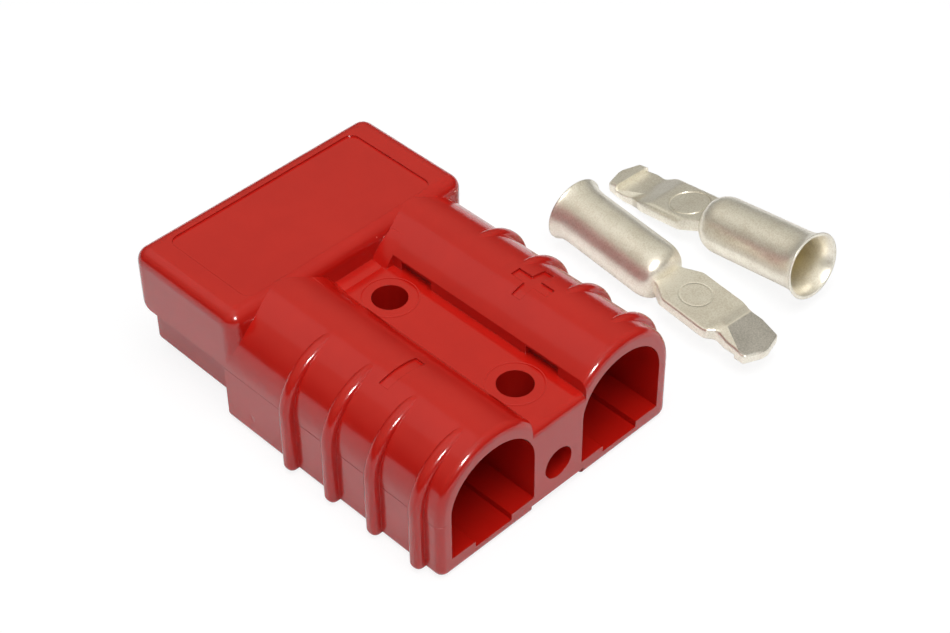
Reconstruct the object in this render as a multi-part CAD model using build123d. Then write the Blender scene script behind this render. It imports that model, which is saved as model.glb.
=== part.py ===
from build123d import *
import os
from math import atan2, degrees

# Genderless two-pole power connector, 50 A size, shown as it is sold: one moulded housing with its
# two leaf springs, and two crimp contacts that lie beside it. Millimetres, +Z up.
# +Y is the mating direction. Heights are given from the underside. The parts are then exported with
# the origin on the mating plane, at half the height, midway between the two mounting holes.

# overall moulding
length = 47.6              # rear face to front of the hood
body_width = 34.0          # across both barrels, without the ribs
height = 15.6
hole_pitch = 18.8          # between the two mounting holes
rear_margin = 6.3          # rear face to the rear mounting hole
hood_length = 16.8         # the hood's own length
mating_depth = 14.7        # how far a mating half goes in

# barrels that hold the wires
barrel_arch = 7.4          # rise of its arched top
side_wall = 1.65
web_wall = 1.55            # between a mounting hole and the wire entry beside it
crown_wall = 1.9
entry_floor = 2.2          # the two ledges in the wire entry
entry_trough = 0.8         # the trough between the ledges, below them
trough_width = 5.2
end_wall = 3.9             # between the wire entry and the mating space
rim_round = 0.9
foot_gap = 3.9             # half width of the flat web between the barrels
base_round = 1.2

# web between the barrels
web_top = 11.8
mount_hole = 4.0
notch_length = 4.6         # pocket in the barrel's foot beside each hole, for a screw head
notch_depth = 0.65
notch_top = 13.0
under_groove_depth = 1.1
rear_hole = 3.9            # blind hole for a clamp screw
rear_hole_z = 4.8
rear_hole_depth = 3.5
ramp_length = 1.5          # low ramp where the web runs into the hood
ramp_rise = 0.3
flare = 0.4                # how much the barrels' inner flanks widen at the hood
flare_length = 2.1

# ribs for the fingers
rib_count = 4
rib_first = 3.0            # rear face to the first rib
rib_pitch = 6.45
rib_width = 1.6
rib_rise = 1.05
rib_sink = 0.12            # how far the rib's arch drops, so that it fades out on the crown
rib_round = 0.7
rib_foot = 0.2             # lower end above the base
rib_foot_round = 0.9

# hood and mating tongue
hood_wall = 1.4
hood_round = 1.7
hood_nose_round = 3.0
mate_gap = 0.1             # between the two halves at the mid plane
slide_gap = 0.2            # between a tongue and the other half's hood
tongue_setback = 0.3       # tongue's front behind the hood's front
tongue_drop = 0.2          # how much lower its underside runs at the shoulder
tongue_round = 0.8
partition = 1.8            # wall between the poles
label_margin_side = 3.6
label_margin_front = 2.0
label_margin_rear = 1.5
label_depth = 0.2
label_round = 1.2

# polarity marks sunk into the crowns, plus on the right and minus on the left
mark_place = 13.0          # rear face to their middle
mark_length = 5.2
mark_width = 1.3
mark_depth = 0.25

# contact channels in the tongue
channel_width = 7.2
channel_floor = 3.0
channel_lip = 1.4          # wall at the channel's front
channel_lip_top = 6.8
slot_rise = 0.7            # how far the slot in the end wall rises above the mid plane

# leaf springs
spring_width = 6.2
spring_thick = 0.5
spring_flat = 3.1          # flat part on the channel floor
spring_reach = 9.2         # rising part, along the channel
spring_lift = 3.65         # how far its free end stands above the flat
spring_hook = 1.3          # rear end, turned down into a slot
spring_bend = 0.5          # centre line radius of the rear bend
spring_crease = 3.0        # centre line radius where it starts to rise
spring_slot_gap = 0.1
spring_inset = 0.7         # its rear end, from the wire entry's end

# crimp contacts
contact_length = 31.1
crimp_outer = 7.0
crimp_bore = 5.5
crimp_length = 13.0        # straight barrel, with its mouth
crimp_depth = 11.5         # depth of the bore
mouth_outer = 8.1
mouth_length = 2.8
neck_place = 15.8
neck_width = 4.2
blade_width = 6.8
blade_thick = 1.7
blade_rise = 0.85          # mating face above the barrel's axis
blade_root = 13.5          # where the blade starts inside the closed end of the barrel
waist_step = 0.7           # narrowing on each side at the hump
tip_taper = 0.25           # narrowing on each side, up to the tip's corners
tip_nose = 0.4             # half width of the blunt point
nose_length = 0.8          # from the tip's corners to its point
blade_edge = 0.3           # rounding of the mating side's edges
blade_tip_edge = 0.4       # rounding of the tip's lower edges
blade_roll = 0.7           # rolled edges of the spring side
blade_corner = 1.5         # rounding of the blade's blunt corners
blade_bend = 3.0           # rounding where the flat face and the thinned stretch end
tip_corner = 0.4           # rounding of the tip's corners
blade_start = 18.0         # full width reached
tip_length = 5.1           # from the hump to the point
hump_length = 1.4          # from the flat mating face to the hump
hump_rise = 0.35
tip_drop = 0.4             # the mating face at the point, below the flat face
latch_length = 2.1         # from the sharp step that catches the spring to the point
latch_thin = 0.95          # spring side of the thinned stretch behind the latch, from the mating face
latch_ramp = 3.0
tip_half = 2.95            # half width at the widest place of the tip
tip_swell = 1.6            # from the hump to that place
coin_ring = 4.8            # plain round mark coined into the spring side
coin_ring_width = 0.3
coin_depth = 0.12
coin_place = 19.2

# places of the mouths of the two loose contacts, from the origin
contact_left_place = (31.7, 11.9)
contact_left_turn = -93.9  # heading of its axis from +X, in degrees
contact_right_place = (41.8, -15.5)
contact_right_turn = 86.9  # also in degrees

# worked out from the sizes above
rear = -(rear_margin + hole_pitch / 2)
front = rear + length
hood_rear = front - hood_length
shoulder = front - mating_depth
mid = height / 2
entry_half = (body_width / 2 - side_wall - web_wall - mount_hole / 2) / 2
barrel_half = entry_half + side_wall
barrel_x = body_width / 2 - barrel_half
arch_z = height - barrel_arch
entry_end = shoulder - end_wall
tongue_half = body_width / 2 - hood_wall - slide_gap
tongue_under = hood_wall + slide_gap
tongue_top = mid - mate_gap / 2
tongue_front = front - tongue_setback
channel_front = tongue_front - channel_lip
spring_start = entry_end + spring_inset
hump_place = contact_length - tip_length
blade_end = hump_place - hump_length
latch_place = contact_length - latch_length
mount_places = [(0, rear + rear_margin), (0, rear + rear_margin + hole_pitch)]


def block(x0, x1, y0, y1, z0, z1):
    """A plain block between two corners."""
    return Pos((x0 + x1) / 2, (y0 + y1) / 2, (z0 + z1) / 2) * Box(x1 - x0, y1 - y0, z1 - z0)


def both_sides(shape):
    """A shape on the right and its mirror image on the left."""
    return shape + mirror(shape, about=Plane.YZ)


def across(y):
    """Drawing plane across the connector, seen from the rear: its axes are X and Z."""
    return Plane(origin=(0, y, 0), x_dir=(1, 0, 0), z_dir=(0, -1, 0))


def along(x):
    """Drawing plane along the connector: its axes are Y and Z."""
    return Plane(origin=(x, 0, 0), x_dir=(0, 1, 0), z_dir=(1, 0, 0))


def run_to(section, y0, y1):
    """Extrude a section drawn across the connector from y0 to y1."""
    return extrude(across(y0) * section, amount=-(y1 - y0))


def arched(half, rise, bottom):
    """Arched outline of the right barrel's centre line: straight legs under half an ellipse."""
    legs = Pos(barrel_x, (arch_z + bottom) / 2) * Rectangle(2 * half, arch_z - bottom)
    crown = Pos(barrel_x, arch_z) * Ellipse(half, rise)
    below = Pos(barrel_x, bottom - rise) * Rectangle(4 * half, 2 * rise)
    return legs + crown - below


def barrel():
    """Right barrel, solid, with its rounded rear rim and a flat foot beside the web."""
    body = run_to(arched(barrel_half, barrel_arch, 0), rear, shoulder)
    base = body.edges().filter_by(Axis.Y).group_by(Axis.Z)[0]
    base += body.faces().sort_by(Axis.Y)[-1].edges().group_by(Axis.Z)[0]
    body = fillet(base, base_round)
    body = fillet(body.faces().sort_by(Axis.Y)[0].edges(), rim_round)
    return body & block(foot_gap, body_width, rear, shoulder, 0, height)


def barrel_flare():
    """The right barrel's inner flank widens just before the hood."""
    small = across(hood_rear - flare_length) * arched(barrel_half, barrel_arch, 0)
    large = across(hood_rear) * arched(barrel_half + flare, barrel_arch, 0)
    inner = block(0, barrel_x, rear, shoulder, under_groove_depth, height - rim_round)
    return loft([small, large], ruled=True) & inner


def rib(place):
    """One finger rib of the right barrel, fading out on the crown."""
    outline = Pos(rib_rise, -rib_sink) * arched(barrel_half, barrel_arch, rib_foot + rib_sink)
    low = outline.vertices().sort_by(Axis.Y)[:2].sort_by(Axis.X)[-1]
    outline = fillet(low, rib_foot_round)
    bar = run_to(outline, place - rib_width / 2, place + rib_width / 2)
    ends = bar.faces().sort_by(Axis.Y)
    bar = fillet(ends[0].edges() + ends[-1].edges(), rib_round)
    return bar & block(barrel_x, body_width, rear, shoulder, 0, height)


def web():
    """Flat web between the barrels, with its ramp up to the hood."""
    reach = barrel_x - entry_half + rim_round
    body = block(-reach, reach, rear, shoulder, under_groove_depth, web_top)
    body = fillet(body.edges().filter_by(Axis.X).group_by(Axis.Y)[0].sort_by(Axis.Z)[-1], rim_round)
    slope = Polyline(
        (hood_rear - ramp_length, web_top),
        (hood_rear, web_top + ramp_rise),
        (hood_rear, under_groove_depth),
        (hood_rear - ramp_length, under_groove_depth),
        close=True,
    )
    return body + extrude(along(0) * make_face(slope), amount=foot_gap, both=True)


def hood():
    """Upper shroud of the mating end, solid, with all its outer edges rounded."""
    half = body_width / 2
    body = block(-half, half, hood_rear, front, tongue_top + mate_gap, height)
    upright = body.edges().filter_by(Axis.Z)
    body = fillet(upright, hood_round)
    body = fillet(body.faces().sort_by(Axis.Z)[-1].edges(), hood_round)
    return body


def hollow_barrel(body):
    """Cut the D-shaped wire entries and the slots that the contact blades pass through."""
    entry = run_to(arched(entry_half, barrel_arch - crown_wall, entry_floor), rear - 1, entry_end)
    entry += block(
        barrel_x - trough_width / 2,
        barrel_x + trough_width / 2,
        rear - 1,
        entry_end,
        entry_floor - entry_trough,
        mid,
    )
    slot = block(
        barrel_x - channel_width / 2,
        barrel_x + channel_width / 2,
        entry_end - 1,
        shoulder + 1,
        channel_floor,
        mid + slot_rise,
    )
    return body - both_sides(entry + slot)


def hollow_hood(body):
    """Open the mating space on both sides of the partition, and round the hood's nose below."""
    half = body_width / 2
    space = block(
        partition / 2, half - hood_wall, shoulder, front + 1, tongue_top, height - hood_wall
    )
    low = tongue_top
    nose = block(-half - 1, half + 1, front - hood_nose_round, front + 1, low, low + hood_nose_round)
    roll = Pos(0, front - hood_nose_round, low + hood_nose_round) * Rot(0, 90, 0)
    nose -= roll * Cylinder(hood_nose_round, 2 * body_width)
    return body - both_sides(space) - nose


def prong():
    """Right half of the mating tongue, with the open channel that the contact blade lies in."""
    inner = partition / 2 + slide_gap
    side = Polyline(
        (shoulder - 1, tongue_top),
        (tongue_front, tongue_top),
        (tongue_front, tongue_under),
        (shoulder, tongue_under - tongue_drop),
        (shoulder - 1, tongue_under - tongue_drop),
        close=True,
    )
    body = extrude(along(inner) * make_face(side), amount=tongue_half - inner)
    nose = body.edges().filter_by(Axis.Z).group_by(Axis.Y)[-1]
    body = fillet(nose, tongue_round)
    under = [e for e in body.edges() if e.center().Z < tongue_under + 0.01]
    body = fillet([e for e in under if e.center().Y > shoulder + 0.01], tongue_round)
    channel = block(
        barrel_x - channel_width / 2,
        barrel_x + channel_width / 2,
        shoulder - 2,
        channel_front,
        channel_floor,
        height,
    )
    lip = block(
        barrel_x - channel_width / 2,
        barrel_x + channel_width / 2,
        shoulder,
        front,
        channel_lip_top,
        height,
    )
    return body - channel - lip


def web_details(body):
    """Cut the screw holes, the pockets beside them, the rear hole and the groove underneath."""
    for x, y in mount_places:
        body -= Pos(x, y, mid) * Cylinder(mount_hole / 2, 2 * height)
        pocket = foot_gap + notch_depth
        half = notch_length / 2
        body -= block(-pocket, pocket, y - half, y + half, web_top, notch_top)
    body -= Pos(0, rear, rear_hole_z) * Rot(90, 0, 0) * Cylinder(rear_hole / 2, 2 * rear_hole_depth)
    return body


def label_recess(body):
    """Shallow plain field with rounded corners on top of the hood."""
    side = body_width / 2 - label_margin_side
    y0 = hood_rear + label_margin_rear
    y1 = front - label_margin_front
    field = RectangleRounded(2 * side, y1 - y0, label_round)
    cut = extrude(Pos(0, (y0 + y1) / 2, height - label_depth) * field, amount=1)
    return body - cut


def polarity_marks(body):
    """Sink a plus into the right crown and a minus into the left one."""
    long, wide = mark_length / 2, mark_width / 2
    middle = rear + mark_place
    bar = block(barrel_x - long, barrel_x + long, middle - wide, middle + wide, mid, height + 1)
    cross = block(barrel_x - wide, barrel_x + wide, middle - long, middle + long, mid, height + 1)
    inside = arched(barrel_half - mark_depth, barrel_arch - mark_depth, 0)
    kept = run_to(inside, rear, shoulder)
    return body - (bar + cross - kept) - mirror(bar - kept, about=Plane.YZ)


def hook_slot(body):
    """Slot in each channel floor that holds the turned-down end of the leaf spring."""
    gap = spring_slot_gap
    y0 = spring_start - gap
    bend = spring_bend - spring_thick / 2
    half = spring_width / 2 + gap
    cut = block(
        barrel_x - half,
        barrel_x + half,
        y0,
        y0 + spring_thick + bend + 2 * gap,
        channel_floor - spring_hook,
        mid,
    )
    return body - both_sides(cut)


def housing():
    """The moulded housing, in one piece."""
    body = both_sides(barrel() + barrel_flare())
    body += web()
    body += hood()
    for number in range(rib_count):
        body += both_sides(rib(rear + rib_first + number * rib_pitch))
    body = hollow_hood(body)
    body += both_sides(prong())
    body = hollow_barrel(body)
    body = web_details(body)
    body = hook_slot(body)
    body = polarity_marks(body)
    return label_recess(body)


def leaf_spring():
    """Right leaf spring: hooked at the rear, flat on the channel floor, rising to its free end."""
    lift = channel_floor + spring_thick / 2
    start = spring_start + spring_thick / 2
    turn = start + spring_flat
    path = FilletPolyline(
        (barrel_x, start, channel_floor - spring_hook + spring_slot_gap),
        (barrel_x, start, lift),
        (barrel_x, turn, lift),
        (barrel_x, turn + spring_reach, lift + spring_lift),
        radius=[spring_bend, spring_crease],
    )
    turned = Plane(origin=path @ 0, x_dir=(1, 0, 0), z_dir=path % 0)
    return sweep(turned * Rectangle(spring_width, spring_thick), path=path)


def crimp_barrel():
    """Drawn wire barrel of a contact, open at its belled mouth and closed by a rounded shoulder."""
    outer = crimp_outer / 2
    bore = crimp_bore / 2
    bell = mouth_outer / 2
    wall = outer - bore
    shape = Polyline((0, crimp_depth + wall), (0, neck_place), (blade_thick / 2, neck_place))
    shape += Spline(
        (blade_thick / 2, neck_place), (outer, crimp_length), tangents=((1, 0), (0, -1))
    )
    shape += Line((outer, crimp_length), (outer, mouth_length))
    shape += Spline((outer, mouth_length), (bell, 0), tangents=((0, -1), (0.8, -1)))
    shape += Line((bell, 0), (bell - wall * 0.5, 0))
    shape += Spline((bell - wall * 0.5, 0), (bore, mouth_length), tangents=((-0.8, 1), (0, 1)))
    shape += Polyline((bore, mouth_length), (bore, crimp_depth), (0, crimp_depth + wall))
    return revolve(make_face(shape.edges()), axis=Axis.Y)


def near(vertices, x, y):
    """The vertices at a place of a drawing, on the right and on the left."""
    return [v for v in vertices if abs(abs(v.X) - x) < 1e-3 and abs(v.Y - y) < 1e-3]


def blade_plan():
    """Outline of the flat blade, seen from the mating side."""
    neck = neck_width / 2
    wide = blade_width / 2
    waist = wide - waist_step
    corners = [
        (neck, neck_place, blade_corner),
        (wide, blade_start, blade_corner),
        (wide, blade_end, blade_bend),
        (waist, hump_place, blade_corner),
        (tip_half, hump_place + tip_swell, blade_corner),
        (tip_half - tip_taper, contact_length - nose_length, tip_corner),
        (tip_nose, contact_length, tip_corner),
    ]
    side = [(0, blade_root), (neck, blade_root)]
    side += [(x, y) for x, y, _ in corners]
    side += [(0, contact_length)]
    right = make_face(Polyline(*side, close=True))
    plan = right + mirror(right, about=Plane.YZ)
    for x, y, radius in corners:
        plan = fillet(near(plan.vertices(), x, y), radius)
    return plan


def blade_profile():
    """Side view of the blade, its mating face at height 0."""
    low = -blade_thick
    bends = [(blade_end, 0, blade_bend), (hump_place, hump_rise, tip_corner)]
    thinned = [(hump_place, -latch_thin, blade_bend), (hump_place - latch_ramp, low, blade_bend)]
    outline = [(blade_root, 0)]
    outline += [(y, z) for y, z, _ in bends]
    outline += [(contact_length, -tip_drop), (contact_length, low)]
    outline += [(latch_place, low), (latch_place, -latch_thin)]
    outline += [(y, z) for y, z, _ in thinned]
    outline += [(blade_root, low)]
    side = make_face(Polyline(*outline, close=True))
    for y, z, radius in bends + thinned:
        side = fillet(near(side.vertices(), y, z), radius)
    return side


def rolled_corner():
    """What is rolled off the spring side's right edge."""
    x = blade_width / 2 - blade_roll
    z = blade_roll - blade_thick
    corner = block(x, x + 2 * blade_roll, blade_root, hump_place, z - 2 * blade_roll, z)
    roll = Pos(x, (blade_root + hump_place) / 2, z) * Rot(90, 0, 0)
    return corner - roll * Cylinder(blade_roll, 2 * (hump_place - blade_root))


def blade():
    """The flat blade with its hump, thinned stretch, latch step and bevelled tip."""
    body = extrude(blade_plan(), amount=crimp_outer, both=True)
    body &= extrude(along(0) * blade_profile(), amount=crimp_outer, both=True)
    flat = [e for e in body.edges() if abs((e % 0.5).Z) < 0.85 and abs((e % 0.5).X) < 0.985]
    flat = [e for e in flat if e.center().Y > blade_root + 0.1]
    top = [e for e in flat if e.center().Z > -latch_thin + 0.02]
    body = fillet(top, blade_edge)
    tip = [e for e in body.edges() if e.center().Y > latch_place + 0.1]
    tip = [e for e in tip if e.center().Z < -blade_thick + 0.1 and abs((e % 0.5).Z) < 0.1]
    return fillet(tip, blade_tip_edge) - both_sides(rolled_corner())


def contact():
    """One crimp contact along +Y from its mouth at the origin, its mating face up."""
    ring = Cylinder((coin_ring + coin_ring_width) / 2, 2 * coin_depth)
    ring -= Cylinder((coin_ring - coin_ring_width) / 2, 3 * coin_depth)
    flat = blade() - Pos(0, coin_place, -blade_thick) * ring
    return crimp_barrel() + Pos(0, 0, blade_rise) * flat


def laid(shape, place, heading, tilt):
    """A contact laid on the floor, its nose down by the tilt."""
    x, y = place
    shape = Rot(0, 0, heading - 90) * Rot(-tilt, 0, 0) * shape
    return Pos(x, y, -shape.bounding_box().min.Z) * shape


def contact_left():
    """Mating face up. It rests on its mouth and on the front of its barrel."""
    tilt = degrees(atan2((mouth_outer - crimp_outer) / 2, crimp_length))
    return laid(contact(), contact_left_place, contact_left_turn, tilt)


def contact_right():
    """Mating face down. It rests on the front of its barrel and on its tip."""
    hang = crimp_outer / 2 + tip_drop - blade_rise
    tilt = degrees(atan2(hang, contact_length - crimp_length))
    return laid(Rot(0, 180, 0) * contact(), contact_right_place, contact_right_turn, tilt)


def main():
    os.makedirs("parts", exist_ok=True)
    spring = leaf_spring()
    nodes = {
        "housing": housing(),
        "contact_spring_right": spring,
        "contact_spring_left": mirror(spring, about=Plane.YZ),
        "power_contact_left": contact_left(),
        "power_contact_right": contact_right(),
    }
    for name, shape in nodes.items():
        export_step(Pos(0, 0, -mid) * shape, f"parts/{name}.step")


main()
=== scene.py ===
# %% [markdown]
# # A genderless power connector and its two crimp contacts
# The object is a red moulded housing with a square hood, two arched barrels for the wires and four
# finger ribs on each side. Two plated copper contacts lie beside it on a white table.
# The solid shapes come from the CAD model. This file gives them their finish, their fine marks,
# the light and the camera, one small step at a time.

import bmesh
import bpy
from math import radians
from mathutils import Matrix, Vector

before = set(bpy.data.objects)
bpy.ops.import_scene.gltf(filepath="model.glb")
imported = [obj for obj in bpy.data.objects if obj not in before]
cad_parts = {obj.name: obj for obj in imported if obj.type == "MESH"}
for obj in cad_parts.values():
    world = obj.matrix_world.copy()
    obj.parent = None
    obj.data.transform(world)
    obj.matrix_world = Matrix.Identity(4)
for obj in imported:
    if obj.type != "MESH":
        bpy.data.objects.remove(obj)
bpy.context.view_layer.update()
MM = 0.001
print("CAD nodes:", sorted(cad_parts))

# %% [markdown]
# ## The camera
# A camera's place can be found from the photograph: the corners and holes of the housing have known
# sizes, so the focal length, the place and the turn follow from where they appear. The three axes
# below are the camera's right, down and forward directions. Blender's camera looks along its own
# -Z with +Y up, so the last two change sign. The focal length is in pixels of a 950 pixel wide
# picture, and Blender wants it in millimetres on a 36 mm wide sensor.

# %% Place the camera
PICTURE_WIDTH = 950
SENSOR = 36
FOCAL_PIXELS = 2124.6
CAMERA_PLACE = Vector((-112.084, -118.107, 155.615)) * MM
CAMERA_RIGHT = Vector((0.710106, -0.704060, -0.007012))
CAMERA_DOWN = Vector((-0.477981, -0.474725, -0.739034))
CAMERA_AHEAD = Vector((0.516996, 0.528143, -0.673632))

camera = bpy.data.objects.new("camera", bpy.data.cameras.new("camera"))
bpy.context.scene.collection.objects.link(camera)
turn = Matrix((CAMERA_RIGHT, -CAMERA_DOWN, -CAMERA_AHEAD)).transposed()
camera.matrix_world = Matrix.Translation(CAMERA_PLACE) @ turn.to_4x4()
camera.data.sensor_width = SENSOR
camera.data.lens = FOCAL_PIXELS * SENSOR / PICTURE_WIDTH
camera.data.clip_start = 0.01
camera.data.clip_end = 20
bpy.context.scene.camera = camera
print("lens", round(camera.data.lens, 2), "mm")

# %% [markdown]
# ## Small helpers for materials
# A material is a graph of nodes. These helpers make a node, set its values by name and join two
# sockets, so that the later cells read like a list of what the surface is made of.

# %% Helpers for node graphs
def add_node(tree, kind, **values):
    """A node of that kind. Values that name an input socket set its default, others an attribute."""
    node = tree.nodes.new(kind)
    for name, value in values.items():
        socket = name.replace("_", " ")
        if socket in node.inputs:
            node.inputs[socket].default_value = value
        else:
            setattr(node, name, value)
    return node


def join(tree, source, target):
    tree.links.new(source, target)


def new_material(name):
    """An empty material with its tree, its Principled shader and its output."""
    material = bpy.data.materials.new(name)
    material.use_nodes = True
    tree = material.node_tree
    tree.nodes.clear()
    shader = tree.nodes.new("ShaderNodeBsdfPrincipled")
    output = tree.nodes.new("ShaderNodeOutputMaterial")
    join(tree, shader.outputs["BSDF"], output.inputs["Surface"])
    return material, tree, shader


def ramp(tree, source, stops):
    """A colour ramp with (place, colour) stops, read from a value."""
    node = tree.nodes.new("ShaderNodeValToRGB")
    elements = node.color_ramp.elements
    while len(elements) < len(stops):
        elements.new(0.5)
    for element, (place, colour) in zip(elements, stops):
        element.position = place
        element.color = (*colour, 1)
    join(tree, source, node.inputs["Fac"])
    return node.outputs["Color"]


print("helpers for nodes: add_node, join, new_material, ramp")

# %% [markdown]
# ## A shared surface effect
# No real surface is perfectly even. A moulding has a faint ripple from the tool and a finer grain,
# and plating has the grain of the metal under it. One node group makes both from two noise
# textures. A material sets the two scales and the share of the finer one, and gets back a height
# and a smoother mask, for its bumps, its colour and its roughness.

# %% The uneven surface group
def make_uneven_group():
    group = bpy.data.node_groups.new("uneven_surface", "ShaderNodeTree")
    for name, value in (("Coarse Scale", 200.0), ("Fine Scale", 3000.0), ("Fine Share", 0.3)):
        socket = group.interface.new_socket(name, in_out="INPUT", socket_type="NodeSocketFloat")
        socket.default_value = value
    group.interface.new_socket("Height", in_out="OUTPUT", socket_type="NodeSocketFloat")
    group.interface.new_socket("Mask", in_out="OUTPUT", socket_type="NodeSocketFloat")
    given = group.nodes.new("NodeGroupInput")
    result = group.nodes.new("NodeGroupOutput")
    place = group.nodes.new("ShaderNodeTexCoord")
    coarse = add_node(group, "ShaderNodeTexNoise", Detail=3.0, Roughness=0.5)
    fine = add_node(group, "ShaderNodeTexNoise", Detail=2.0, Roughness=0.6)
    for noise, scale in ((coarse, "Coarse Scale"), (fine, "Fine Scale")):
        join(group, place.outputs["Object"], noise.inputs["Vector"])
        join(group, given.outputs[scale], noise.inputs["Scale"])
    mix = add_node(group, "ShaderNodeMix", data_type="FLOAT")
    join(group, given.outputs["Fine Share"], mix.inputs["Factor"])
    join(group, coarse.outputs["Fac"], mix.inputs["A"])
    join(group, fine.outputs["Fac"], mix.inputs["B"])
    join(group, mix.outputs["Result"], result.inputs["Height"])
    join(group, coarse.outputs["Fac"], result.inputs["Mask"])
    return group


uneven = make_uneven_group()
print(uneven.name, "has", len(uneven.nodes), "nodes")


def place_uneven(tree, coarse, fine, share):
    node = add_node(tree, "ShaderNodeGroup", node_tree=uneven)
    node.inputs["Coarse Scale"].default_value = coarse
    node.inputs["Fine Scale"].default_value = fine
    node.inputs["Fine Share"].default_value = share
    return node


# %% [markdown]
# ## A second shared effect: a narrow line
# Parting lines and rings are narrow features at a known place. This group gives 1 where a value
# equals a place and falls smoothly to 0 at a half width from it. The value can be a height, a
# distance from an axis or anything else that is measured in metres.

# %% The narrow line group
def make_line_group():
    group = bpy.data.node_groups.new("narrow_line", "ShaderNodeTree")
    for name, value in (("Value", 0.0), ("Place", 0.0), ("Half Width", 0.0001)):
        socket = group.interface.new_socket(name, in_out="INPUT", socket_type="NodeSocketFloat")
        socket.default_value = value
    group.interface.new_socket("Line", in_out="OUTPUT", socket_type="NodeSocketFloat")
    given = group.nodes.new("NodeGroupInput")
    result = group.nodes.new("NodeGroupOutput")
    away = add_node(group, "ShaderNodeMath", operation="SUBTRACT")
    far = add_node(group, "ShaderNodeMath", operation="ABSOLUTE")
    share = add_node(group, "ShaderNodeMath", operation="DIVIDE")
    fall = add_node(group, "ShaderNodeMapRange", interpolation_type="SMOOTHSTEP", To_Min=1.0, To_Max=0.0)
    join(group, given.outputs["Value"], away.inputs[0])
    join(group, given.outputs["Place"], away.inputs[1])
    join(group, away.outputs["Value"], far.inputs[0])
    join(group, far.outputs["Value"], share.inputs[0])
    join(group, given.outputs["Half Width"], share.inputs[1])
    join(group, share.outputs["Value"], fall.inputs["Value"])
    join(group, fall.outputs["Result"], result.inputs["Line"])
    return group


line_group = make_line_group()
print(line_group.name, "has", len(line_group.nodes), "nodes")


def place_line(tree, value, place, half_width):
    """Line strength of a value near a place. Both sizes are in millimetres."""
    node = add_node(tree, "ShaderNodeGroup", node_tree=line_group)
    node.inputs["Place"].default_value = place * MM
    node.inputs["Half Width"].default_value = half_width * MM
    join(tree, value, node.inputs["Value"])
    return node.outputs["Line"]


# %% [markdown]
# ## Sums on a surface
# A mark at a known place needs a little arithmetic on the surface's coordinates. Math nodes do it,
# one sum each, and these helpers make them from plain numbers and sockets alike. Others spread a
# value over a range, mix two colours and turn a height into a bend of the shading. All lengths
# inside a material are in metres, because object coordinates are.

# %% Helpers for sums, mixes and bumps
def calc(tree, operation, *values):
    """A Math node whose inputs are sockets or plain numbers."""
    node = add_node(tree, "ShaderNodeMath", operation=operation)
    for socket, value in zip(node.inputs, values):
        if isinstance(value, (int, float)):
            socket.default_value = value
        else:
            join(tree, value, socket)
    return node.outputs["Value"]


def smooth_step(tree, value, start, end):
    """0 below the start, 1 above the end, both in millimetres."""
    node = add_node(tree, "ShaderNodeMapRange", interpolation_type="SMOOTHSTEP")
    node.inputs["From Min"].default_value = start * MM
    node.inputs["From Max"].default_value = end * MM
    join(tree, value, node.inputs["Value"])
    return node.outputs["Result"]


def product(tree, *values):
    """The product of two or more values."""
    result = values[0]
    for value in values[1:]:
        result = calc(tree, "MULTIPLY", result, value)
    return result


def distance(tree, first, second):
    """How far a point is from an axis, from its two offsets."""
    squares = calc(tree, "ADD", product(tree, first, first), product(tree, second, second))
    return calc(tree, "SQRT", squares)


def spread(tree, value, low, high):
    """A value from 0 to 1, spread from low to high."""
    node = add_node(tree, "ShaderNodeMapRange", To_Min=low, To_Max=high)
    join(tree, value, node.inputs["Value"])
    return node.outputs["Result"]


def object_axes(tree):
    """The three object coordinates of a surface point, in metres."""
    place = tree.nodes.new("ShaderNodeTexCoord")
    axes = tree.nodes.new("ShaderNodeSeparateXYZ")
    join(tree, place.outputs["Object"], axes.inputs["Vector"])
    return axes.outputs["X"], axes.outputs["Y"], axes.outputs["Z"]


def mixed(tree, share, first, second):
    """Mix two colours, each a socket or a plain colour."""
    node = add_node(tree, "ShaderNodeMix", data_type="RGBA")
    join(tree, share, node.inputs[0])
    for socket, value in zip((node.inputs[6], node.inputs[7]), (first, second)):
        if isinstance(value, tuple):
            socket.default_value = (*value, 1)
        else:
            join(tree, value, socket)
    return node.outputs[2]


def add_bump(tree, height, depth, normal=None, strength=1.0, invert=False):
    """A normal bent by a height. The depth in metres is that of a height of 1."""
    node = add_node(tree, "ShaderNodeBump", Strength=strength, Distance=depth, invert=invert)
    join(tree, height, node.inputs["Height"])
    if normal is not None:
        join(tree, normal, node.inputs["Normal"])
    return node.outputs["Normal"]


print("helpers for sums: calc, smooth_step, product, distance, spread, mixed, add_bump")

# %% [markdown]
# ## The marks of the mould
# A mould closes along a parting line, and the line stays on the sides of the moulding. The pins that
# form the two mounting holes leave a faint ring around each, and one side has a small nick. All
# these marks are shallower than a tenth of a millimetre, so they are a height for a Bump node and
# not geometry. Each one is a narrow line on a coordinate or on a distance, kept to its own place by
# a second line or by a limit.

# %% The grooves of the mould
PARTING_HEIGHT = -0.15
PARTING_WIDTH = 0.09
SIDE_PLACE = 16.5
SIDE_WIDTH = 1.2
SIDE_SHARE = 0.55
HOLE_PLACE = 9.4
RING_RADIUS = 3.15
RING_WIDTH = 0.16
RING_SHARE = 0.5
WEB_LEVEL = 4.0
WEB_WIDTH = 0.4
NICK_LIMIT = -16.9
NICK_Y, NICK_Y_WIDTH = 13.1, 0.45
NICK_Z, NICK_Z_WIDTH = -4.9, 0.7


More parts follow.
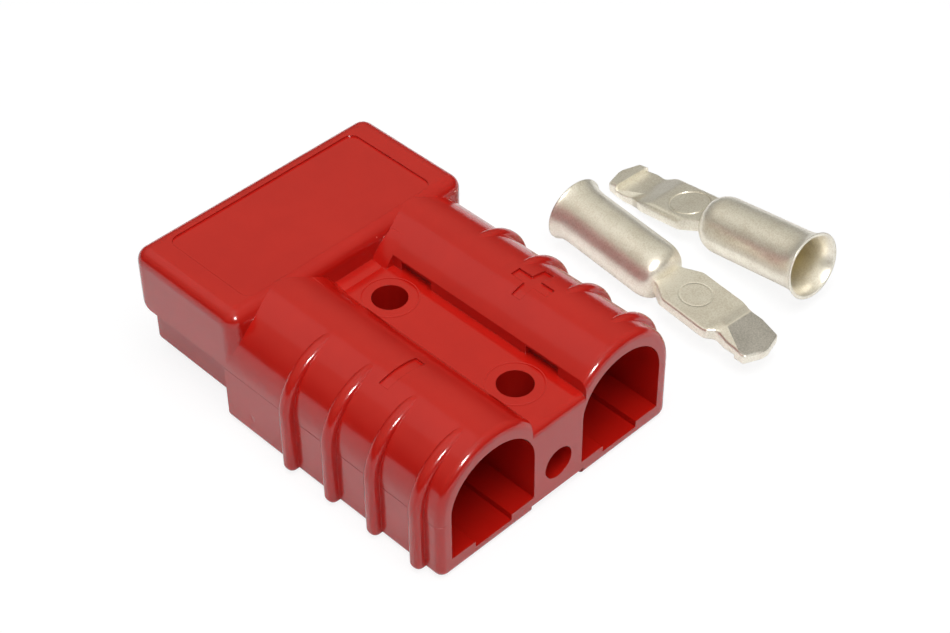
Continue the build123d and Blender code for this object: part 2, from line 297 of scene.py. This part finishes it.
def mould_marks(tree):
    """Grooves of the parting line, of the nick and of the rings around the two mounting holes."""
    x, y, z = object_axes(tree)
    beside = place_line(tree, calc(tree, "ABSOLUTE", x), SIDE_PLACE, SIDE_WIDTH)
    side = calc(tree, "GREATER_THAN", beside, SIDE_SHARE)
    parting = product(tree, place_line(tree, z, PARTING_HEIGHT, PARTING_WIDTH), side)
    along = calc(tree, "SUBTRACT", calc(tree, "ABSOLUTE", y), HOLE_PLACE * MM)
    around = place_line(tree, distance(tree, x, along), RING_RADIUS, RING_WIDTH)
    ring = product(tree, around, place_line(tree, z, WEB_LEVEL, WEB_WIDTH))
    nick_y = place_line(tree, y, NICK_Y, NICK_Y_WIDTH)
    nick_z = place_line(tree, z, NICK_Z, NICK_Z_WIDTH)
    nick = product(tree, nick_y, nick_z, calc(tree, "LESS_THAN", x, NICK_LIMIT * MM))
    deepest = calc(tree, "MAXIMUM", parting, nick)
    return calc(tree, "MAXIMUM", deepest, product(tree, ring, RING_SHARE))


print("parting line at", PARTING_HEIGHT, "mm, rings of", RING_RADIUS, "mm")

# %% [markdown]
# ## Specks
# Plastic always has a few specks of dust or paler pigment in its skin. A Voronoi texture scatters
# one random point in each cell of a grid. The surface is a speck where such a point is very near,
# and a random number of the cell leaves more than half of them out.

# %% The specks
SPECK_GRID = 240.0
SPECK_SIZE = 0.025
SPECK_LEFT_OUT = 0.6


def specks(tree):
    """1 in a few tiny spots, else 0."""
    place = tree.nodes.new("ShaderNodeTexCoord")
    cells = add_node(tree, "ShaderNodeTexVoronoi", Scale=SPECK_GRID)
    join(tree, place.outputs["Object"], cells.inputs["Vector"])
    pick = tree.nodes.new("ShaderNodeSeparateColor")
    join(tree, cells.outputs["Color"], pick.inputs["Color"])
    near = calc(tree, "LESS_THAN", cells.outputs["Distance"], SPECK_SIZE)
    return product(tree, near, calc(tree, "GREATER_THAN", pick.outputs["Red"], SPECK_LEFT_OUT))


print("specks: one cell is", round(1000 / SPECK_GRID, 1), "mm")

# %% [markdown]
# ## Red polycarbonate
# The housing is a glossy moulded plastic. Its colour is deep and even, a little light goes through
# its skin, and its sides mirror the white table as a pale veil. So the base is a strong red with a
# small subsurface share, the gloss is a clear coat over a softer one, and the ripple of the tool
# bends the reflections slightly. The edges of a moulding are never knife sharp: a Bevel node rounds
# their shading by a tenth of a millimetre.

# %% The red plastic
DEEP_RED = (0.52, 0.0082, 0.0046)
CLEAR_RED = (0.56, 0.0112, 0.0062)
PALE_RED = (0.75, 0.10, 0.08)
RED_GLOSS = (0.16, 0.22)
RED_EDGE = 0.12
GROOVE_DEPTH = 0.08
RIPPLE_DEPTH = 0.05


def make_red_plastic():
    material, tree, shader = new_material("red_polycarbonate")
    surface = place_uneven(tree, coarse=180.0, fine=2600.0, share=0.2)
    colour = ramp(tree, surface.outputs["Mask"], [(0.3, DEEP_RED), (0.7, CLEAR_RED)])
    colour = mixed(tree, specks(tree), colour, PALE_RED)
    edge = add_node(tree, "ShaderNodeBevel", Radius=RED_EDGE * MM, samples=4)
    grooved = add_bump(tree, mould_marks(tree), GROOVE_DEPTH * MM, edge.outputs["Normal"], invert=True)
    rippled = add_bump(tree, surface.outputs["Height"], RIPPLE_DEPTH * MM, grooved, strength=0.06)
    join(tree, colour, shader.inputs["Base Color"])
    join(tree, spread(tree, surface.outputs["Mask"], *RED_GLOSS), shader.inputs["Roughness"])
    join(tree, rippled, shader.inputs["Normal"])
    shader.inputs["IOR"].default_value = 1.45
    shader.inputs["Coat Weight"].default_value = 0.4
    shader.inputs["Coat Roughness"].default_value = 0.05
    shader.inputs["Subsurface Weight"].default_value = 0.04
    shader.inputs["Subsurface Radius"].default_value = (1.0, 0.12, 0.08)
    shader.inputs["Subsurface Scale"].default_value = 0.8 * MM
    return material


red_plastic = make_red_plastic()
print(red_plastic.name, "has", len(red_plastic.node_tree.nodes), "nodes")

# %% [markdown]
# ## Plated copper
# The contacts are drawn from copper, pressed and then silver plated. They are satin, with a warm
# tint and a fine grain. Each contact lies at its own angle, so a Mapping node first turns the object
# coordinates into the contact's own: Y along its axis from the mouth, Z up from the axis on the
# mating side. Then the bore can be golden, the barrel grainy and the pressed face at the tip a rough
# grey, wherever the contact lies.

# %% The contact's own axes
def contact_axes(tree, mouth, heading, tilt, roll):
    """The contact's coordinates, from its mouth in millimetres and its angles in degrees."""
    turn = Matrix.Rotation(radians(heading - 90), 4, "Z")
    turn = turn @ Matrix.Rotation(radians(-tilt), 4, "X") @ Matrix.Rotation(radians(roll), 4, "Y")
    place = tree.nodes.new("ShaderNodeTexCoord")
    own = add_node(tree, "ShaderNodeMapping", vector_type="TEXTURE")
    own.inputs["Location"].default_value = Vector(mouth) * MM
    own.inputs["Rotation"].default_value = turn.to_euler("XYZ")
    axes = tree.nodes.new("ShaderNodeSeparateXYZ")
    join(tree, place.outputs["Object"], own.inputs["Vector"])
    join(tree, own.outputs["Vector"], axes.inputs["Vector"])
    return axes.outputs["X"], axes.outputs["Y"], axes.outputs["Z"]


print("contact axes: Y from the mouth, Z to the mating side")

# %% [markdown]
# ## Where the finish of a contact changes
# Inside the wire bore the plating looks golden. The tip is pressed at a slant: its flat part is a
# rough grey facet, and beside it the metal rolls over. Sums on the contact's own axes find
# these places: a distance from the axis for the bore, a sloping plane for the facet and a slanted
# line for the shoulder. A plain shallow ring is pressed into the mating side.

# %% Masks along the contact
BORE_RADIUS = 2.9
BORE_FADE = (1.5, 5.0)
BORE_END = 12.5
FACET_START = 26.2
FACET_HEIGHT = 1.2
FACET_FADE = (-0.14, -0.06)
FACET_SLOPE = 0.147
FACET_EDGE = 0.1
SHOULDER_PLACE = 1.2
SHOULDER_SLOPE = 0.45
SHOULDER_FALL = 0.6
SHOULDER_FADE = (-1.4, 0.4)
MARK_PLACE = 20.1
MARK_RADIUS = 1.9
MARK_WIDTH = 0.2
MARK_DEPTH = 0.05
MATING_SIDE = 0.5


def bore_mask(tree, x, y, z):
    """1 deep inside the wire bore."""
    inside = calc(tree, "LESS_THAN", distance(tree, x, z), BORE_RADIUS * MM)
    before_end = calc(tree, "LESS_THAN", y, BORE_END * MM)
    return product(tree, inside, smooth_step(tree, y, *BORE_FADE), before_end)


def beyond_shoulder(tree, x, y):
    """How far a point lies beyond the slanted line where the tip's flat part ends."""
    line = product(tree, calc(tree, "SUBTRACT", y, FACET_START * MM), SHOULDER_SLOPE)
    return calc(tree, "SUBTRACT", calc(tree, "SUBTRACT", x, line), SHOULDER_PLACE * MM)


def facet_mask(tree, y, z, beyond):
    """1 on the pressed flat face at the tip."""
    rise = product(tree, calc(tree, "SUBTRACT", y, FACET_START * MM), FACET_SLOPE)
    on_plane = smooth_step(tree, calc(tree, "ADD", z, rise), *(FACET_HEIGHT + fade for fade in FACET_FADE))
    past_start = smooth_step(tree, y, FACET_START - FACET_EDGE, FACET_START + FACET_EDGE)
    return product(tree, on_plane, past_start, calc(tree, "LESS_THAN", beyond, 0.0))


def pressed_depth(tree, x, y, z, beyond):
    """How deep the rolled shoulder and the plain ring lie below the face, in metres."""
    fallen = product(tree, calc(tree, "MAXIMUM", beyond, 0.0), SHOULDER_FALL)
    fallen = product(tree, fallen, smooth_step(tree, y, *(FACET_START + fade for fade in SHOULDER_FADE)))
    beside = calc(tree, "SUBTRACT", y, MARK_PLACE * MM)
    around = place_line(tree, distance(tree, x, beside), MARK_RADIUS, MARK_WIDTH)
    ring = product(tree, around, calc(tree, "GREATER_THAN", z, MATING_SIDE * MM))
    return calc(tree, "ADD", fallen, product(tree, ring, MARK_DEPTH * MM))


print("bore of", BORE_RADIUS, "mm, facet from", FACET_START, "mm")

# %% [markdown]
# ## The silver plating
# Silver plating is a metal, but a satin one: part of its light comes back evenly. So Metallic is
# below 1, the roughness is middling, and a fine grain changes both the colour and the roughness. The
# grain also bends the shading, more on the drawn barrel than on the pressed blade. The two contacts
# have the same finish and differ only in where they lie.

# %% The silver plating
DULL_SILVER = (0.84, 0.78, 0.66)
BRIGHT_SILVER = (1.0, 0.96, 0.85)
GOLDEN = (0.95, 0.86, 0.60)
DARK_GREY = (0.40, 0.38, 0.34)
PALE_GREY = (0.62, 0.59, 0.54)
SILVER_GLOSS = (0.28, 0.38)
FACET_ROUGHER = 0.15
SILVER_EDGE = 0.2
GRAIN_DEPTH = 0.025
GRAIN_FADE = (13.5, 16.5)
GRAIN_ON_BLADE = 0.2


def silver_colour(tree, grain, bore, facet):
    """Satin silver, golden in the bore and a rough grey on the facet."""
    plain = ramp(tree, grain, [(0.38, DULL_SILVER), (0.58, BRIGHT_SILVER)])
    grey = ramp(tree, grain, [(0.35, DARK_GREY), (0.65, PALE_GREY)])
    return mixed(tree, facet, mixed(tree, bore, plain, GOLDEN), grey)


def silver_normal(tree, grain, y, depth):
    """Rounded edges, the pressed marks and the grain, which is weaker on the blade."""
    edge = add_node(tree, "ShaderNodeBevel", Radius=SILVER_EDGE * MM, samples=6)
    pressed = add_bump(tree, depth, 1.0, edge.outputs["Normal"], invert=True)
    share = add_node(tree, "ShaderNodeMapRange", From_Min=GRAIN_FADE[0] * MM, From_Max=GRAIN_FADE[1] * MM,
                     To_Min=1.0, To_Max=GRAIN_ON_BLADE)
    join(tree, y, share.inputs["Value"])
    return add_bump(tree, product(tree, grain, share.outputs["Result"]), GRAIN_DEPTH * MM, pressed)


def make_silver(name, **pose):
    material, tree, shader = new_material(name)
    x, y, z = contact_axes(tree, **pose)
    beyond = beyond_shoulder(tree, x, y)
    facet = facet_mask(tree, y, z, beyond)
    grain = place_uneven(tree, coarse=420.0, fine=5000.0, share=0.65).outputs["Height"]
    gloss = spread(tree, grain, *SILVER_GLOSS)
    rough = calc(tree, "ADD", gloss, product(tree, facet, FACET_ROUGHER))
    depth = pressed_depth(tree, x, y, z, beyond)
    join(tree, silver_colour(tree, grain, bore_mask(tree, x, y, z), facet), shader.inputs["Base Color"])
    join(tree, rough, shader.inputs["Roughness"])
    join(tree, silver_normal(tree, grain, y, depth), shader.inputs["Normal"])
    shader.inputs["Metallic"].default_value = 0.7
    return material


silver_left = make_silver(
    "silver_plated_left", mouth=(31.7, 11.9, -3.75), heading=-93.9, tilt=2.42, roll=0)
silver_right = make_silver(
    "silver_plated_right", mouth=(41.8, -15.5, -2.12), heading=86.9, tilt=9.565, roll=180)
print(silver_left.name, silver_right.name, "have", len(silver_left.node_tree.nodes), "nodes each")

# %% [markdown]
# ## Spring steel
# The leaf springs inside the housing are rolled stainless strip. Rolling leaves fine lines along
# the strip, so the noise is stretched along Y with a Mapping node.

# %% The spring steel
DARK_STEEL = (0.42, 0.41, 0.39)
PALE_STEEL = (0.58, 0.57, 0.55)
STEEL_GLOSS = (0.22, 0.38)
LINE_DEPTH = 0.02


def make_spring_steel():
    material, tree, shader = new_material("spring_steel")
    place = tree.nodes.new("ShaderNodeTexCoord")
    stretch = add_node(tree, "ShaderNodeMapping", Scale=(1.0, 0.05, 1.0))
    noise = add_node(tree, "ShaderNodeTexNoise", Scale=6000.0, Detail=2.0)
    join(tree, place.outputs["Object"], stretch.inputs["Vector"])
    join(tree, stretch.outputs["Vector"], noise.inputs["Vector"])
    lines = noise.outputs["Fac"]
    colour = ramp(tree, lines, [(0.35, DARK_STEEL), (0.65, PALE_STEEL)])
    join(tree, colour, shader.inputs["Base Color"])
    join(tree, spread(tree, lines, *STEEL_GLOSS), shader.inputs["Roughness"])
    join(tree, add_bump(tree, lines, LINE_DEPTH * MM, strength=0.15), shader.inputs["Normal"])
    shader.inputs["Metallic"].default_value = 1.0
    return material


spring_steel = make_spring_steel()
print(spring_steel.name, "has", len(spring_steel.node_tree.nodes), "nodes")

# %% [markdown]
# ## Dress the solids
# Each solid of the CAD model is a mesh of its own, and it gets one material. The two contacts look
# the same but have a material each, because their own axes differ.

# %% Dress the CAD nodes
finishes = {
    "housing": red_plastic,
    "contact_spring_left": spring_steel,
    "contact_spring_right": spring_steel,
    "power_contact_left": silver_left,
    "power_contact_right": silver_right,
}
for node_name, material in finishes.items():
    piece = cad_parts[node_name]
    piece.data.materials.clear()
    piece.data.materials.append(material)
    print(node_name, "has", len(piece.data.polygons), "triangles")

# %% [markdown]
# ## The table
# The picture is taken on a white table that is lit until it is pure white. The table reflects like
# white paper, so it throws light back on the sides of the object. It also gives off light of its
# own, for the camera and through glass, and weakly for what mirrors it, but it lights nothing. The
# camera sees a darker paper under that light. So the table is white in the picture, and the
# object's soft shadow stays, but only faintly.

# %% Make the table
TABLE_SIZE = 3.0
TABLE_PLACE = Vector((12, 6, -7.83)) * MM
WHITE_PAPER = (0.8, 0.8, 0.8)
SEEN_PAPER = (0.15, 0.15, 0.15)
SEEN_LIGHT = 0.88
MIRRORED_LIGHT = 0.20


def make_table():
    mesh = bpy.data.meshes.new("table")
    shape = bmesh.new()
    bmesh.ops.create_grid(shape, x_segments=1, y_segments=1, size=TABLE_SIZE / 2)
    bmesh.ops.translate(shape, verts=shape.verts, vec=TABLE_PLACE)
    shape.to_mesh(mesh)
    shape.free()
    table = bpy.data.objects.new("table", mesh)
    bpy.context.scene.collection.objects.link(table)
    return table


def own_light(tree):
    """How bright the table is by itself: most for the camera, less for what shines, else not at all."""
    path = tree.nodes.new("ShaderNodeLightPath")
    seen = product(tree, path.outputs["Is Camera Ray"], SEEN_LIGHT)
    through = product(tree, path.outputs["Is Transmission Ray"], SEEN_LIGHT)
    mirrored = product(tree, path.outputs["Is Glossy Ray"], MIRRORED_LIGHT)
    return calc(tree, "MAXIMUM", calc(tree, "MAXIMUM", seen, through), mirrored)


def make_table_finish():
    material, tree, shader = new_material("white_table")
    path = tree.nodes.new("ShaderNodeLightPath")
    paper = mixed(tree, path.outputs["Is Camera Ray"], WHITE_PAPER, SEEN_PAPER)
    join(tree, paper, shader.inputs["Base Color"])
    shader.inputs["Roughness"].default_value = 0.9
    shader.inputs["Specular IOR Level"].default_value = 0.0
    shader.inputs["Emission Color"].default_value = (1, 1, 1, 1)
    join(tree, own_light(tree), shader.inputs["Emission Strength"])
    return material


table = make_table()
table.data.materials.append(make_table_finish())
print("table", TABLE_SIZE, "m wide")

# %% [markdown]
# ## The light
# A product like this is photographed under white cloth in a darker room: most light comes from
# above and from the table. The world is a weak even light for diffuse rays. What shines sees a sky
# that is dark at the horizon and warmer and brighter towards the top, so that rounded edges keep
# their deep red while the sides are veiled by the table.

# %% The world
WHITE = (1, 1, 1, 1)
WARM = (1, 0.94, 0.74, 1)
EVEN_LIGHT = 0.05
SKY_TOP = 0.8
SKY_DARK = 0.06
SKY_BRIGHT = 0.48


def mirrored_sky(tree):
    """The sky that shiny surfaces see: dark at the horizon, brighter towards the top."""
    sky = add_node(tree, "ShaderNodeBackground", Color=WARM)
    place = tree.nodes.new("ShaderNodeTexCoord")
    axes = tree.nodes.new("ShaderNodeSeparateXYZ")
    rise = add_node(tree, "ShaderNodeMapRange", interpolation_type="SMOOTHSTEP",
                    From_Max=SKY_TOP, To_Min=SKY_DARK, To_Max=SKY_BRIGHT)
    join(tree, place.outputs["Generated"], axes.inputs["Vector"])
    join(tree, axes.outputs["Z"], rise.inputs["Value"])
    join(tree, rise.outputs["Result"], sky.inputs["Strength"])
    return sky


def make_world():
    world = bpy.data.worlds.new("tent")
    bpy.context.scene.world = world
    world.use_nodes = True
    tree = world.node_tree
    tree.nodes.clear()
    output = tree.nodes.new("ShaderNodeOutputWorld")
    cloth = add_node(tree, "ShaderNodeBackground", Color=WHITE, Strength=EVEN_LIGHT)
    seen = add_node(tree, "ShaderNodeBackground", Color=WHITE, Strength=1.0)
    path = tree.nodes.new("ShaderNodeLightPath")
    shiny = tree.nodes.new("ShaderNodeMixShader")
    join(tree, path.outputs["Is Glossy Ray"], shiny.inputs["Fac"])
    join(tree, cloth.outputs["Background"], shiny.inputs[1])
    join(tree, mirrored_sky(tree).outputs["Background"], shiny.inputs[2])
    shown = tree.nodes.new("ShaderNodeMixShader")
    join(tree, path.outputs["Is Camera Ray"], shown.inputs["Fac"])
    join(tree, shiny.outputs["Shader"], shown.inputs[1])
    join(tree, seen.outputs["Background"], shown.inputs[2])
    join(tree, shown.outputs["Shader"], output.inputs["Surface"])
    return world


world = make_world()
print("the world has", len(world.node_tree.nodes), "nodes")

# %% [markdown]
# ## The lamps
# Three lamps do the rest. A wide one above lights the tops and leaves the wire entries dark inside,
# and it doesn't show in reflections. A small one behind the camera is seen by what shines alone, so
# it makes the short bright streaks on the rounded rims and ribs. A large weak one behind the object
# does the same for the tops of the plated barrels.

# %% The lamps
def add_softbox(name, place, target, size, power):
    """A square area lamp that faces the target. Places are in millimetres."""
    data = bpy.data.lights.new(name, "AREA")
    data.shape = "SQUARE"
    data.size = size * MM
    data.energy = power
    lamp = bpy.data.objects.new(name, data)
    bpy.context.scene.collection.objects.link(lamp)
    place = Vector(place) * MM
    ahead = Vector(target) * MM - place
    turned = ahead.to_track_quat("-Z", "Y").to_matrix().to_4x4()
    lamp.matrix_world = Matrix.Translation(place) @ turned
    return lamp


MIDDLE = (14, 6, -3)
overhead = add_softbox("overhead", place=(-60, -110, 600), target=MIDDLE, size=520, power=4.1)
overhead.visible_glossy = False
accent = add_softbox("accent", place=(-155, -340, 330), target=MIDDLE, size=100, power=2.2)
accent.visible_diffuse = False
sheet = add_softbox("sheet", place=(-70, 330, 500), target=MIDDLE, size=420, power=0.13)
sheet.visible_diffuse = False
print("lamps:", overhead.name, accent.name, sheet.name)

# %% [markdown]
# ## Finish
# The picture is shown without any film curve.

bpy.context.scene.view_settings.view_transform = "Standard"
